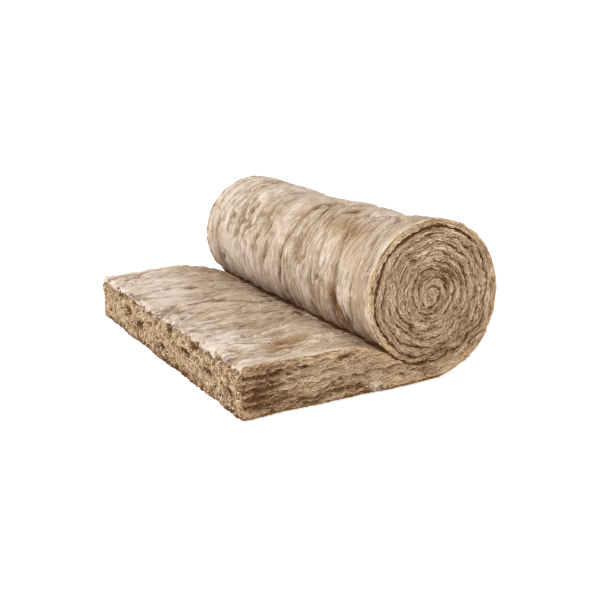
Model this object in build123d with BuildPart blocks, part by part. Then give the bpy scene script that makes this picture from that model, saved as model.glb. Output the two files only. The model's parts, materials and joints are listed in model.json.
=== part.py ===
"""A loft roll of brown glass mineral wool, partly unrolled.

One blanket of wool. Its free tail lies flat on the floor at full loft, narrows as it runs
under the roll, wraps up round the outside of it and winds inwards, squeezed thin. The turns
press on each other, so the roll is solid and the seam between its turns shows on both ends.
The far end is wound a little tighter than the near one, and the roll sags between them.

Frame: +X runs along the blanket from the cut end to the roll, +Y along the roll's axis and
+Z up. The origin is on the floor, in the middle of the footprint. Sizes are millimetres.
"""

import os

from build123d import *

# The blanket as it is sold
BLANKET_WIDTH = 1140.0
LOFT = 150.0

# The roll, and the blanket's thickness where the roll squeezes it
ROLL_HEIGHT = 480.0
THICKNESS_UNDER_ROLL = 56.0
WOUND_THICKNESS = 24.0

# The far end and the sag in the middle, as shares of the near end
FAR_ROLL_SHARE = 0.9375
FAR_LOFT_SHARE = 0.968
MIDDLE_ROLL_SHARE = 0.938

# The tail
TAIL_LENGTH = 600.0  # from the cut end to the roll's axis
SHOULDER_LENGTH = 190.0  # over which the top of the tail drops into the nip
NIP_ANGLE = 42.0  # degrees round the roll from its lowest point to the nip

# The seam that shows on the ends, and the soft edges of the cut end
SEAM_WIDTH = 9.0
SEAM_DEPTH = 12.0
SEAM_RUN_OUT = 6.0  # degrees by which it runs out past the nip
SMALLEST_SEAM_RADIUS = 12.0
SOFT_EDGE = 9.0

# The outer wrap is two half circles: a full one on the right, and a smaller one on the
# left that comes down on the blanket's own top face. These are its sizes at the near end.
right_radius = ROLL_HEIGHT / 2
left_radius = (ROLL_HEIGHT - THICKNESS_UNDER_ROLL) / 2
left_centre_z = ROLL_HEIGHT - left_radius

axis_x = (TAIL_LENGTH - right_radius) / 2
cut_x = axis_x - TAIL_LENGTH
half_width = BLANKET_WIDTH / 2

# The near end, the middle and the far end: the place of each along Y, from -1 to 1, and its
# shares of the roll and of the loft
SECTIONS = (
    (-1, 1.0, 1.0),
    (0, MIDDLE_ROLL_SHARE, (1 + FAR_LOFT_SHARE) / 2),
    (1, FAR_ROLL_SHARE, FAR_LOFT_SHARE),
)


def seam_arcs():
    """The arcs of the seam, from the nip to the core: (radius, centre's height, side, angle).

    Side is -1 on the left and 1 on the right. The first arc runs from just outside the nip to
    the lowest point of the roll's inner turns, and the rest are half circles. A turn is one
    wound thickness smaller than the last, so each half circle's radius is half that less.
    """
    yield left_radius, left_centre_z, -1, NIP_ANGLE + SEAM_RUN_OUT
    start_z = THICKNESS_UNDER_ROLL
    radius = (ROLL_HEIGHT - WOUND_THICKNESS - THICKNESS_UNDER_ROLL) / 2
    side = 1
    while radius >= SMALLEST_SEAM_RADIUS:
        yield radius, start_z + side * radius, side, 180
        start_z += side * 2 * radius
        radius -= WOUND_THICKNESS / 2
        side = -side


# The outline of each section, seen along +Y: the tail, the outer wrap and the nip between them
with BuildPart() as wool_blanket:
    for place, share, loft_share in SECTIONS:
        thickness = LOFT * loft_share
        with BuildSketch(Plane.XZ.offset(-place * half_width)):
            with BuildLine():
                Line((cut_x, 0), (axis_x, 0))
                CenterArc((axis_x, right_radius * share), right_radius * share, -90, 180)
                left_wrap = CenterArc(
                    (axis_x, left_centre_z * share), left_radius * share, 90, 180 - NIP_ANGLE
                )
                nip = left_wrap @ 1
                shoulder_start = Vector(nip.X - SHOULDER_LENGTH, thickness)
                TangentArc(shoulder_start, nip, tangent=(1, 0))
                Line(shoulder_start, (cut_x, thickness))
                Line((cut_x, thickness), (cut_x, 0))
            make_face()
    loft(ruled=True)
    cut_face = wool_blanket.faces().sort_by(Axis.X)[0]
    fillet(cut_face.edges(), SOFT_EDGE)

# The seam: a V-shaped groove that follows the arcs, cut into both ends
bottom_y = half_width - SEAM_DEPTH
mouth_y = half_width + SEAM_DEPTH
with BuildPart() as seam:
    for facing, share, _ in (SECTIONS[0], SECTIONS[-1]):
        for radius, centre_z, side, angle in seam_arcs():
            below = angle < 180 or side > 0
            line_z = share * (centre_z - radius if below else centre_z + radius)
            with BuildSketch(Plane.YZ.offset(axis_x)):
                with BuildLine():
                    Polyline(
                        (facing * mouth_y, line_z - SEAM_WIDTH),
                        (facing * bottom_y, line_z),
                        (facing * mouth_y, line_z + SEAM_WIDTH),
                        close=True,
                    )
                make_face()
            sense = -side if below else side
            revolve(axis=Axis((axis_x, 0, share * centre_z), (0, sense, 0)), revolution_arc=angle)

with wool_blanket:
    add(seam.part, mode=Mode.SUBTRACT)

wool_blanket.part.label = "wool_blanket"

os.makedirs("parts", exist_ok=True)
export_step(wool_blanket.part, "parts/wool_blanket.step")

turns = sum(angle for *_, angle in seam_arcs()) / 360 + 1
volume = wool_blanket.part.volume / 1e9
print(f"turns {turns:.1f}, volume {volume:.4f} m3, box {wool_blanket.part.bounding_box().size}")
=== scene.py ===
"""A roll of brown mineral wool, partly unrolled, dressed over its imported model.

The blanket is one closed mesh whose section is laid out along the spiral. Every point of it
knows how far along, across and into the blanket it lies, and the relief, the fibres and the
colours all follow that. Lengths are metres in the model's own frame: +X runs from the cut end
to the roll, +Y along the roll's axis, +Z up.
"""

import json
import math

import bpy
import numpy as np
from bpy.props import FloatProperty, FloatVectorProperty, PointerProperty
from mathutils import Matrix, Vector
from mathutils.geometry import delaunay_2d_cdt

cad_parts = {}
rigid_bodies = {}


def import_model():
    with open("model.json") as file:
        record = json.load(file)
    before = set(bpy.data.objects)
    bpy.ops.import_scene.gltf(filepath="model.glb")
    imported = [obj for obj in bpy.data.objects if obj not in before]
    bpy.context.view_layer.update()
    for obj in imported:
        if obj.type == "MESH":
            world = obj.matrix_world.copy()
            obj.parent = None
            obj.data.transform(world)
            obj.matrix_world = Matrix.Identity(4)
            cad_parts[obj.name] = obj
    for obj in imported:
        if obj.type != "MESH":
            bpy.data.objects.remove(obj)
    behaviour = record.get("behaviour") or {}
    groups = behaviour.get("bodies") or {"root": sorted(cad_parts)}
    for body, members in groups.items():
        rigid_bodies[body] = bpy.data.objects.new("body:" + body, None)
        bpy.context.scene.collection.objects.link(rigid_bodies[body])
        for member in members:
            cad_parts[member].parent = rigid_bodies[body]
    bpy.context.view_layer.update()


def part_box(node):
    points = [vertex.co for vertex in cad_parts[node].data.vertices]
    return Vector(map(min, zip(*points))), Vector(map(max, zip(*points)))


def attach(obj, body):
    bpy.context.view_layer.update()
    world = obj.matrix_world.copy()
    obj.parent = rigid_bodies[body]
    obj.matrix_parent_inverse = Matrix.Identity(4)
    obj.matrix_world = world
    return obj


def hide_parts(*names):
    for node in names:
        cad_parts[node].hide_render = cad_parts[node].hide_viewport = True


bl_info = {
    "name": "Mineral Wool Roll",
    "version": (1, 0, 0),
    "blender": (4, 5, 0),
    "location": "3D View > Sidebar > Wool Roll",
    "description": "A partly unrolled roll of mineral wool with its layers, fibres and skin",
    "category": "Object",
}

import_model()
LOW, HIGH = (Vector(corner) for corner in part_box("wool_blanket"))
ROLL_RADIUS = (HIGH.z - LOW.z) / 2
AXIS_X = HIGH.x - ROLL_RADIUS
HALF_WIDTH = (HIGH.y - LOW.y) / 2

# Places where the skin is pressed in or torn: distance along the blanket from the cut end,
# distance across it, slant, half length, half breadth, depth of the dent, and how torn it is.
# A depth below zero is a swell, and a narrow mark is a crease that its last term darkens with painted shade.
SKIN_MARKS = (
    (1.22, 0.15, 0.0, 0.120, 0.060, 0.011, 0.0),
    (1.23, -0.33, 0.0, 0.140, 0.110, 0.011, 0.0),
    (1.31, -0.07, 0.0, 0.022, 0.050, 0.012, 1.2),
    (1.330, -0.030, 0.3, 0.034, 0.0095, 0.014, 1.5),
    (1.345, -0.062, 0.8, 0.040, 0.0095, 0.010, 1.3),
    (1.350, -0.100, -0.3, 0.034, 0.0095, 0.014, 1.5),
    (1.33, -0.22, 0.0, 0.030, 0.030, 0.006, 1.2),
    (1.335, -0.215, 0.5, 0.028, 0.0095, 0.008, 1.3),
    (1.41, -0.27, -0.9, 0.045, 0.130, 0.003, 0.75),
    (1.60, 0.00, 0.15, 0.100, 0.007, 0.018, 1.1),
    (1.70, -0.378, -0.5, 0.085, 0.038, 0.003, 2.2),
    (1.725, -0.433, -0.2, 0.060, 0.006, 0.010, 2.0),
    (1.55, -0.16, -0.3, 0.080, 0.007, 0.012, 0.4),
    (1.50, -0.24, -0.2, 0.070, 0.007, 0.012, 0.5),
    (1.47, -0.33, -0.4, 0.060, 0.007, 0.010, 0.4),
    (0.21, -0.42, 0.15, 0.080, 0.045, 0.006, 1.8),
    (0.090, 0.072, 0.00, 0.070, 0.009, 0.007, 1.2),
    (0.200, 0.085, 0.05, 0.050, 0.009, 0.007, 1.1),
    (0.260, 0.058, -0.45, 0.045, 0.008, 0.007, 0.9),
    (0.330, 0.035, -0.25, 0.050, 0.009, 0.007, 1.0),
    (0.200, 0.272, -0.25, 0.080, 0.009, 0.007, 0.9),
    (0.220, 0.160, -0.50, 0.060, 0.008, 0.006, 0.7),
    (0.120, -0.010, -0.45, 0.030, 0.008, 0.006, 0.8),
    (0.185, -0.195, 0.00, 0.060, 0.009, 0.006, 0.9),
    (0.120, -0.368, -0.20, 0.060, 0.009, 0.006, 0.7),
    (0.135, -0.505, -0.25, 0.050, 0.008, 0.005, 0.5),
    (0.340, -0.240, -0.30, 0.070, 0.009, 0.007, 0.8),
    (0.350, 0.330, -0.20, 0.070, 0.009, 0.007, 0.6),
    (0.220, 0.420, -0.10, 0.070, 0.009, 0.006, 0.6),
    (1.553, 0.485, 0.0, 0.018, 0.013, 0.012, 0.5),
    (1.513, 0.265, 0.0, 0.020, 0.012, 0.013, 0.6),
    (1.493, 0.225, 0.3, 0.022, 0.012, 0.013, 0.6),
    (1.457, 0.170, 0.0, 0.020, 0.014, 0.012, 0.5),
    (1.489, 0.125, 0.0, 0.020, 0.012, 0.012, 0.6),
    (1.505, 0.375, 0.0, 0.018, 0.012, 0.012, 0.5),
    (1.440, 0.290, 0.3, 0.022, 0.012, 0.010, 0.5),
    (1.430, 0.080, 0.0, 0.020, 0.012, 0.010, 0.4),
    (0.16, 0.570, 0.0, 0.170, 0.150, -0.010, 0.0),
    (0.05, -0.360, 0.0, 0.060, 0.070, -0.006, 0.0),
)
# The half breadth below which a mark is a crease
CREASE_BREADTH = 0.010
# The region of the roll's far half whose skin is dimpled, in the first five of those terms
DIMPLED = (1.49, 0.28, 0.0, 0.085, 0.26)
# Darker places on the near end: x, z, half sizes, depth and darkness
END_MARKS = (
    (-0.390, 0.065, 0.090, 0.050, 0.000, 0.40),
    (-0.370, 0.118, 0.090, 0.007, 0.006, 0.70),
    (-0.380, 0.098, 0.060, 0.005, 0.005, 0.55),
    (-0.365, 0.080, 0.080, 0.006, 0.006, 0.65),
    (-0.385, 0.055, 0.060, 0.006, 0.005, 0.55),
    (-0.370, 0.036, 0.070, 0.005, 0.004, 0.45),
    (-0.240, 0.030, 0.150, 0.014, 0.003, 0.45),
    (-0.100, 0.036, 0.060, 0.010, 0.002, 0.50),
    (-0.228, 0.118, 0.020, 0.005, 0.010, 0.70),
    (-0.105, 0.128, 0.020, 0.005, 0.010, 0.60),
    (-0.350, 0.140, 0.090, 0.010, -0.003, 0.85),
    (0.330, 0.100, 0.120, 0.070, 0.000, 0.12),
    (0.250, 0.305, 0.050, 0.028, 0.006, 0.10),
    (0.170, 0.330, 0.060, 0.020, 0.004, 0.08),
    (0.112, 0.172, 0.009, 0.008, 0.012, 0.60),
)
# Pits on the cut end with painted shade in them, and painted shade along its foot: y, z, half sizes, depth
# and darkness
CUT_MARKS = (
    (0.366, 0.128, 0.022, 0.008, 0.012, 0.9),
    (0.102, 0.130, 0.016, 0.008, 0.012, 0.9),
    (-0.066, 0.116, 0.018, 0.008, 0.010, 0.8),
    (-0.258, 0.122, 0.024, 0.008, 0.012, 0.9),
    (-0.186, 0.086, 0.026, 0.009, 0.014, 1.0),
    (-0.348, 0.076, 0.026, 0.009, 0.014, 1.0),
    (0.204, 0.063, 0.024, 0.012, 0.012, 0.8),
    (-0.492, 0.064, 0.020, 0.008, 0.010, 0.7),
    (0.300, 0.090, 0.020, 0.014, 0.010, 0.7),
    (0.000, 0.050, 0.020, 0.010, 0.010, 0.6),
    (-0.100, 0.012, 0.320, 0.022, 0.000, 0.35),
)
# Loose tufts of fluff: place and reach
TUFTS = (
    (-0.004, -0.565, 0.022, 0.026),
    (-0.255, -0.385, 0.150, 0.022),
    (-0.110, -0.440, 0.146, 0.020),
    (-0.150, -0.470, 0.150, 0.016),
    (0.200, -0.085, 0.460, 0.028),
    (0.150, -0.140, 0.452, 0.022),
)


# Node trees as Python expressions


def is_vector(value):
    """Whether a wire or a plain value has three parts."""
    if isinstance(value, Wire):
        return value.socket.type in {"VECTOR", "RGBA"}
    return isinstance(value, (tuple, Vector))


class Wire:
    """A socket that takes part in arithmetic; each operation adds the node that does it."""

    def __init__(self, loom, socket):
        self.loom = loom
        self.socket = socket

    def joined(self, operation, other, swapped=False):
        """This and another value through one Math or Vector Math node."""
        pair = (other, self) if swapped else (self, other)
        if not any(is_vector(value) for value in pair):
            return self.loom.node("ShaderNodeMath", {"operation": operation}, dict(enumerate(pair)))
        if operation == "MULTIPLY" and not all(is_vector(value) for value in pair):
            vector, number = sorted(pair, key=is_vector, reverse=True)
            return self.loom.node(
                "ShaderNodeVectorMath", {"operation": "SCALE"}, {0: vector, "Scale": number}
            )
        return self.loom.node("ShaderNodeVectorMath", {"operation": operation}, dict(enumerate(pair)))

    def __add__(self, other):
        return self.joined("ADD", other)

    def __radd__(self, other):
        return self.joined("ADD", other, True)

    def __sub__(self, other):
        return self.joined("SUBTRACT", other)

    def __rsub__(self, other):
        return self.joined("SUBTRACT", other, True)

    def __mul__(self, other):
        return self.joined("MULTIPLY", other)

    def __rmul__(self, other):
        return self.joined("MULTIPLY", other, True)

    def __truediv__(self, other):
        return self.joined("DIVIDE", other)

    def __rtruediv__(self, other):
        return self.joined("DIVIDE", other, True)

    def __rpow__(self, other):
        return self.joined("POWER", other, True)

    def __neg__(self):
        return self * -1.0

    def __abs__(self):
        return self.loom.node("ShaderNodeMath", {"operation": "ABSOLUTE"}, {0: self})

    def least(self, other):
        """The smaller of this and another value."""
        return self.joined("MINIMUM", other)

    def most(self, other):
        """The larger of this and another value."""
        return self.joined("MAXIMUM", other)

    def between(self, low, high):
        """0 at low, 1 at high, and a smooth step between them."""
        return self.loom.node(
            "ShaderNodeMapRange",
            {"interpolation_type": "SMOOTHSTEP"},
            {0: self, 1: low, 2: high, 3: 0.0, 4: 1.0},
        )

    def bell(self):
        """1 where the wire is 0, and a smooth fall to nothing on both sides of it."""
        return 2.718 ** -(self * self)

    def out(self, key):
        """Another output of the node that this wire leaves."""
        return Wire(self.loom, self.socket.node.outputs[key])


class Loom:
    """Adds nodes to one tree, of a material or of a geometry modifier."""

    def __init__(self, tree):
        self.tree = tree

    def feed(self, socket, value):
        """Links a wire to a socket, or sets the socket to a plain value."""
        if isinstance(value, Wire):
            self.tree.links.new(value.socket, socket)
        elif socket.type == "RGBA" and len(value) == 3:
            socket.default_value = (*value, 1.0)
        elif socket.type == "VECTOR" and not is_vector(value):
            socket.default_value = (value, value, value)
        else:
            socket.default_value = value

    def node(self, kind, settings=None, feeds=None, out=0):
        """A node with its settings made first and its sockets fed after them."""
        made = self.tree.nodes.new(kind)
        for name, value in (settings or {}).items():
            if name == "stops":
                ramp = made.color_ramp.elements
                while len(ramp) < len(value):
                    ramp.new(0.5)
                for stop, (place, colour) in zip(ramp, value):
                    stop.position = place
                    stop.color = (*colour, 1.0)
            else:
                setattr(made, name, value)
        for key, value in (feeds or {}).items():
            self.feed(made.inputs[key], value)
        return Wire(self, made.outputs[out])

    def noise(self, place, scale=1.0, detail=2.0, roughness=0.5, distortion=0.0, seed=0.0, out=0):
        """Cloudy noise at a place, 0 to 1 round a half, or its three-part form with out=1."""
        feeds = {"Vector": place, "W": seed, "Scale": scale, "Detail": detail}
        feeds |= {"Roughness": roughness, "Distortion": distortion}
        return self.node("ShaderNodeTexNoise", {"noise_dimensions": "4D"}, feeds, out)

    def mix(self, share, first, second):
        """Two colours mixed by a share from 0 to 1."""
        settings = {"data_type": "RGBA", "clamp_factor": True}
        return self.node("ShaderNodeMix", settings, {0: share, 6: first, 7: second}, 2)


class GeometryLoom(Loom):
    """A Geometry Nodes tree with named inputs and one geometry output."""

    def __init__(self, name, inputs):
        super().__init__(bpy.data.node_groups.new(name, "GeometryNodeTree"))
        face = self.tree.interface
        self.ids = {}
        for label, kind, value in inputs:
            socket = face.new_socket(label, in_out="INPUT", socket_type=f"NodeSocket{kind}")
            if value is not None:
                socket.default_value = value
            self.ids[label] = socket.identifier
        face.new_socket("Geometry", in_out="OUTPUT", socket_type="NodeSocketGeometry")
        self.source = self.tree.nodes.new("NodeGroupInput")

    def given(self, label):
        """The wire from one of the tree's named inputs."""
        return Wire(self, self.source.outputs[label])

    def noted(self, name, kind="FLOAT"):
        """A value stored on the mesh under a name."""
        return self.node("GeometryNodeInputNamedAttribute", {"data_type": kind}, {"Name": name})

    def note(self, geometry, name, value, domain="POINT", kind="FLOAT"):
        """Stores a value on the geometry under a name."""
        settings = {"data_type": kind, "domain": domain}
        feeds = {"Geometry": geometry, "Name": name, "Value": value}
        return self.node("GeometryNodeStoreNamedAttribute", settings, feeds)

    def chance(self, low, high, seed):
        """A random number for each element."""
        return self.node("FunctionNodeRandomValue", {"data_type": "FLOAT"}, {2: low, 3: high, 8: seed}, 1)

    def finish(self, geometry):
        """Realizes what is instanced, gives it its material and ends the tree."""
        real = self.node("GeometryNodeRealizeInstances", None, {0: geometry})
        smooth = self.node("GeometryNodeSetShadeSmooth", None, {0: real})
        dressed = self.node("GeometryNodeSetMaterial", None, {0: smooth, "Material": self.given("Material")})
        end = self.tree.nodes.new("NodeGroupOutput")
        self.feed(end.inputs["Geometry"], dressed)
        return self

    def applied(self, piece, values):
        """Runs the tree on a piece and keeps the result as its plain mesh."""
        modifier = piece.modifiers.new(self.tree.name, "NODES")
        modifier.node_group = self.tree
        for label, value in values.items():
            modifier[self.ids[label]] = value
        graph = bpy.context.evaluated_depsgraph_get()
        result = bpy.data.meshes.new_from_object(
            piece.evaluated_get(graph), preserve_all_data_layers=True, depsgraph=graph
        )
        piece.modifiers.remove(modifier)
        spare = piece.data
        piece.data = result
        bpy.data.meshes.remove(spare)
        result.name = piece.name


# How the wool lies


def pairs(x, z):
    """Points of the section from their two parts, either of which may be one number."""
    return np.stack(np.broadcast_arrays(x, z), 1)


class Lay:
    """The blanket's section: its outline, and how the wool runs at any place inside it."""

    half_turns = 40  # more than the roll has
    core_radius = 0.002  # the least mean radius of a half turn
    curl_radius = 0.012  # of the tightest bend that the fibres are given
    least_thickness = 0.045  # over which the pattern of the layers is spread, however thin the wool
    climb = 0.05  # how far the tail's layers climb at the cut end
    climb_reach = 0.16  # how far from the cut end that fades
    cut_edge = 0.014  # radius of the cut end's upper edge; the lower one has half of it
    cut_step = 0.005  # mesh spacing up the cut end

    def __init__(self, sizes):
        self.loft = sizes.loft
        self.under = sizes.under_roll
        self.wound = sizes.wound
        self.left_radius = ROLL_RADIUS - self.under / 2
        self.left_z = 2 * ROLL_RADIUS - self.left_radius
        self.inner_radius = ROLL_RADIUS - (self.wound + self.under) / 2
        self.right_z = self.under + self.inner_radius
        self.nip_turn = math.pi - math.radians(sizes.nip_angle)
        self.nip_x = AXIS_X - self.left_radius * math.sin(self.nip_turn)
        self.nip_z = self.left_z + self.left_radius * math.cos(self.nip_turn)
        drop = self.loft - self.nip_z
        self.shoulder = sizes.shoulder
        self.shoulder_x = self.nip_x - self.shoulder
        self.shoulder_radius = (self.shoulder**2 + drop**2) / (2 * drop)
        starts = [AXIS_X - LOW.x]
        for half in range(self.half_turns):
            mean = (ROLL_RADIUS + self.inner_radius) / 2 if half == 0 else self.band_radius(half)
            starts.append(starts[-1] + math.pi * max(mean, self.core_radius))
        self.starts = np.array(starts)

    def band_radius(self, half):
        """The mean radius of the blanket on a half turn; 0 is the outer one on the right."""
        return self.left_radius - self.wound * half / 2

    def top(self, x):
        """The height of the tail's top, and of the seam under the roll, and its slope."""
        into = np.clip(x - self.shoulder_x, 0, self.shoulder)
        fall = np.sqrt(self.shoulder_radius**2 - into**2)
        tail = self.loft - self.shoulder_radius + fall
        across = np.clip(AXIS_X - x, 0, self.left_radius - 1e-6)
        rise = np.sqrt(self.left_radius**2 - across**2)
        nipped = x > self.nip_x
        return (
            np.where(nipped, self.left_z - rise, tail),
            np.where(nipped, -across / rise, -into / fall),
        )

    def at(self, x, z):
        """What the wool does at places of the section.

        Gives the distance along the blanket, the depth into it, the distance to the nearest
        seam, the direction of its length and the curve of that direction, towards the centre.
        """
        right = x >= AXIS_X
        dx = x - AXIS_X
        dz = z - np.where(right, self.right_z, self.left_z)
        r = np.hypot(dx, dz)
        turn = np.where(right, np.arctan2(dx, -dz), np.arctan2(-dx, dz))
        turn = np.where(turn < 0, turn + 2 * math.pi, turn)
        outermost = np.where(right, self.inner_radius, self.inner_radius - self.wound / 2)
        ring = np.floor((outermost - r) / self.wound + 1e-6)
        half = np.where(right, 2 * ring + 2, 2 * ring + 3)
        share = (outermost - r) / self.wound - ring
        mean = self.band_radius(half)
        thick = np.full(x.shape, self.wound)
        seam = np.minimum(share, 1 - share) * self.wound

        band = right & (ring < 0)
        out = ROLL_RADIUS - np.hypot(dx, z - ROLL_RADIUS)
        half = np.where(band, 0, half)
        thick = np.where(band, np.maximum(out + r - self.inner_radius, 1e-4), thick)
        share = np.where(band, out / thick, share)
        mean = np.where(band, (ROLL_RADIUS + self.inner_radius) / 2, mean)
        seam = np.where(band, r - self.inner_radius, seam)

        wrap = ~right & (ring < 0)
        past = turn > self.nip_turn
        seam = np.where(wrap, r - outermost, seam)
        seam = np.where(wrap & past, np.minimum(seam, self.left_radius - r), seam)

        top, slope = self.top(x)
        tail = ~right & (r > self.left_radius) & (z < top + 1e-4)
        outside = tail | wrap | band
        first_ring = ~outside & (ring == 0) & (share < 0.5)
        start = self.starts[np.clip(half, 0, self.half_turns - 1).astype(int)]
        along = start + turn * np.maximum(mean, self.core_radius)
        along = np.where(tail, x - LOW.x, along)
        share = np.clip(np.where(tail, z / top, share), 0, 1)
        thick = np.where(tail, top, thick)
        seam = np.where(tail, np.where(x > self.nip_x, r - self.left_radius, 1.0), seam)

        # The tail's layers climb from the cut end before they dip towards the roll.
        climb = self.climb * np.exp(-(x - LOW.x) / self.climb_reach)
        tilt = share * slope + climb / self.climb_reach * 4 * share * (1 - share)
        sense = np.where(right, 1, -1)
        flow_x = np.where(tail, 1 / np.hypot(1, tilt), sense * np.cos(turn))
        flow_z = np.where(tail, tilt / np.hypot(1, tilt), sense * np.sin(turn))
        pull = np.where(tail, 0, 1 / np.maximum(r, self.curl_radius) ** 2)
        return {
            "along": along,
            "depth": share * np.maximum(thick, self.least_thickness) + np.where(tail, climb, 0),
            "seam": np.maximum(seam, 0),
            "wrap": outside.astype(float),
            "wrap_seam": np.where(outside | first_ring, np.maximum(seam, 0), 1.0),
            "flow_x": flow_x,
            "flow_z": flow_z,
            "curl_x": -dx * pull,
            "curl_z": -dz * pull,
        }

    def outline(self, step):
        """Points round the section, counter-clockwise seen from the front, from the cut end."""
        edge = self.cut_edge
        foot = edge / 2
        flat = np.arange(LOW.x + edge, AXIS_X, 2 * step)
        runs = [pairs(flat, 0.0)]
        for cz, radius, first, last, size in (
            (ROLL_RADIUS, ROLL_RADIUS, 0, math.pi, step * 1.15),
            (self.left_z, self.left_radius, math.pi, math.pi + self.nip_turn, step),
        ):
            count = round(radius * (last - first) / size)
            turn = first + (last - first) * np.arange(count) / count
            runs.append(pairs(AXIS_X + radius * np.sin(turn), cz - radius * np.cos(turn)))
        slide = np.linspace(self.nip_x, self.shoulder_x, round(self.shoulder / step))[:-1]
        runs.append(pairs(slide, self.top(slide - 1e-7)[0]))
        flat = np.linspace(self.shoulder_x, LOW.x + edge, round((self.shoulder_x - LOW.x) / step))[:-1]
        runs.append(pairs(flat, self.loft))
        turn = np.linspace(0, math.pi / 2, 4)
        runs.append(pairs(LOW.x + edge - edge * np.sin(turn), self.loft - edge + edge * np.cos(turn)))
        rise = np.linspace(self.loft - edge, foot, round(self.loft / self.cut_step))[1:-1]
        runs.append(pairs(LOW.x, rise))
        turn = np.linspace(0, math.pi / 2, 3)
        runs.append(pairs(LOW.x + foot - foot * np.cos(turn), foot - foot * np.sin(turn)))
        return np.concatenate(runs)

    def fill(self, step):
        """Points inside the section, in rows along the seams and the layers between them."""
        found = []
        layers = round(self.wound / step)
        fine = self.wound / layers
        right_half = (self.inner_radius, self.right_z, 1)
        left_half = (self.left_radius, self.left_z, -1)
        for outer, centre, side in (right_half, left_half):
            for radius in np.arange(outer, fine / 2, -fine):
                first = self.nip_turn if radius == self.left_radius else 0
                turn = np.linspace(first, math.pi, max(3, round((math.pi - first) * radius / step)) + 1)
                x = AXIS_X + side * radius * np.sin(turn)
                found.append(pairs(x, centre - side * radius * np.cos(turn)))
        found.append([[AXIS_X, self.right_z], [AXIS_X, self.left_z]])
        for turn in np.linspace(0, math.pi, round(math.pi * ROLL_RADIUS / (step * 1.1))):
            reach = np.array([math.sin(turn), -math.cos(turn)])
            near = np.array([AXIS_X, self.right_z]) + self.inner_radius * reach
            far = np.array([AXIS_X, ROLL_RADIUS]) + ROLL_RADIUS * reach
            share = np.linspace(0, 1, max(3, round(np.linalg.norm(far - near) / step)) + 1)[1:-1]
            found.append(near + share[:, None] * (far - near))
        for x in np.arange(LOW.x + step, AXIS_X, step):
            top = float(self.top(np.array(x))[0])
            z = np.linspace(0, top, max(3, round(top / step)) + 1)[1:-1]
            found.append(pairs(x, z))
        return np.concatenate(found)


def edge_distance(points, rim):
    """How far points lie from a closed line, and whether they are inside it."""
    first, last = rim, np.roll(rim, -1, 0)
    run = last - first
    near = np.full(len(points), 1e9)
    inside = np.zeros(len(points), bool)
    for a, b, d in zip(first, last, run):
        share = np.clip((points - a) @ d / (d @ d), 0, 1)
        near = np.minimum(near, np.hypot(*(points - a - share[:, None] * d).T))
        crosses = (a[1] > points[:, 1]) != (b[1] > points[:, 1])
        if d[1]:
            inside ^= crosses & (points[:, 0] < a[0] + (points[:, 1] - a[1]) * d[0] / d[1])
    return near, inside


def outward(rim):
    """Unit normals of a closed counter-clockwise line of points."""
    along = np.roll(rim, -1, 0) - np.roll(rim, 1, 0)
    side = np.stack([along[:, 1], -along[:, 0]], 1)
    return side / np.linalg.norm(side, axis=1)[:, None]


# Rings of points that follow the outline a little inside it, and how near to it the points of
# the rings and the other points may lie
RING_INSETS = (0.0013, 0.0036, 0.0068)
RING_CLEARANCE = 0.0011
FILL_CLEARANCE = 0.0090


def triangulated(rim, lay, step):
    """Fills the outline: (points with the rim's first, triangles, distance to the rim)."""
    normals = outward(rim)
    rings = np.concatenate([rim - normals * inset for inset in RING_INSETS])
    fill = np.unique(np.round(lay.fill(step), 5), axis=0)
    points = [rim]
    for more, clearance in ((rings, RING_CLEARANCE), (fill, FILL_CLEARANCE)):
        near, inside = edge_distance(more, rim)
        points.append(more[inside & (near > clearance)])
    points = [Vector(point) for point in np.concatenate(points).tolist()]
    count = len(rim)
    loop = [(i, (i + 1) % count) for i in range(count)]
    spots, _, faces, sources, _, _ = delaunay_2d_cdt(points, loop, [], 0, 1e-5)

    # The rim's points get their numbers back, and the others are counted on from them.
    spots = np.array([tuple(spot) for spot in spots])
    order = np.full(len(spots), -1)
    for new, old in enumerate(sources):
        if old and min(old) < count:
            order[new] = min(old)
    rest = np.flatnonzero(order < 0)
    order[rest] = count + np.arange(len(rest))
    placed = np.empty_like(spots)
    placed[order] = spots
    faces = order[np.array([tuple(face) for face in faces])]

    # Only triangles inside the outline stay, all turned the same way.
    _, inside = edge_distance(placed[faces].mean(1), rim)
    faces = faces[inside]
    a, b, c = (placed[faces[:, i]] for i in range(3))
    turned = (b[:, 0] - a[:, 0]) * (c[:, 1] - a[:, 1]) - (b[:, 1] - a[:, 1]) * (c[:, 0] - a[:, 0]) < 0
    faces[turned] = faces[turned][:, ::-1]
    near, _ = edge_distance(placed, rim)
    near[:count] = 0
    return placed, faces, near


# The height above the tail's top over which the roll's own sag takes over
SAG_FADE = 0.01


def settled(lay, places, sizes):
    """Moves places of a straight roll to where the wool lies: sagging, and smaller at the far end."""
    x, y, z = places.T
    less = np.interp(y / HALF_WIDTH, (-1, 0, 1), (0, sizes.sag, sizes.far_end_taper))
    flatter = (y / HALF_WIDTH + 1) / 2 * (1 - sizes.far_loft)
    top = lay.top(x)[0]
    over = np.clip((z - top) / SAG_FADE, 0, 1)
    nearness = np.clip(1 - (lay.nip_x - x) / lay.shoulder, 0, 1)
    pull = np.maximum(over, nearness**2 * (3 - 2 * nearness))
    lower = flatter + (less - flatter) * pull
    return np.stack([x + less * pull * (AXIS_X - x), y, z * (1 - lower)], 1)


def note_all(mesh, notes):
    """Stores arrays on the mesh's points, numbers or vectors."""
    for name, values in notes.items():
        vector = np.ndim(values) == 2
        made = mesh.attributes.new(name, "FLOAT_VECTOR" if vector else "FLOAT", "POINT")
        values = np.asarray(values, np.float32).ravel()
        made.data.foreach_set("vector" if vector else "value", values)


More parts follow.
